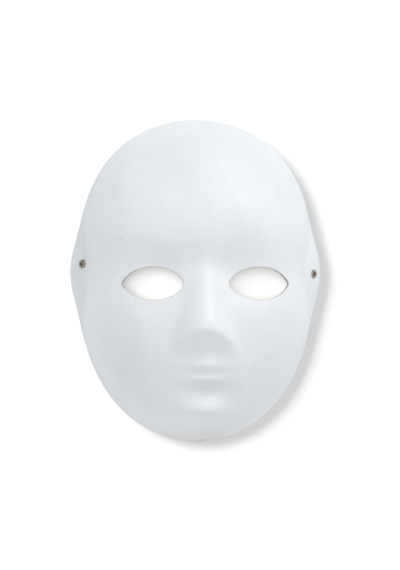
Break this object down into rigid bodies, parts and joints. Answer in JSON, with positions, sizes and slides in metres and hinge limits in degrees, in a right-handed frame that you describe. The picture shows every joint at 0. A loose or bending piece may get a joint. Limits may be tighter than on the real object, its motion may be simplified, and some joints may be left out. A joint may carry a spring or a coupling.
{
  "type": "full-face mask",
  "caption": "Blank full-face costume mask of moulded paper pulp with almond eye openings, soft nose and lips, and an eyelet in a strap tab at each temple.",
  "frame": {"origin": "middle of the rim's cut edge, in the plane that the mask rests on", "axes": "+Z out of the face, +Y towards the crown, +X towards the wearer's left (the viewer's right)"},
  "size_m": [0.1876, 0.24, 0.0791],
  "materials": {
    "white_pulp": "satin white coat over moulded pulp",
    "eyelet_brass": "dull aged",
    "washer_steel": "dull"
  },
  "bodies": {
    "root": {"mask_shell": "white_pulp", "left_eyelet": "eyelet_brass", "right_eyelet": "eyelet_brass", "left_eyelet_washer": "washer_steel", "right_eyelet_washer": "washer_steel"}
  },
  "joints": []
}
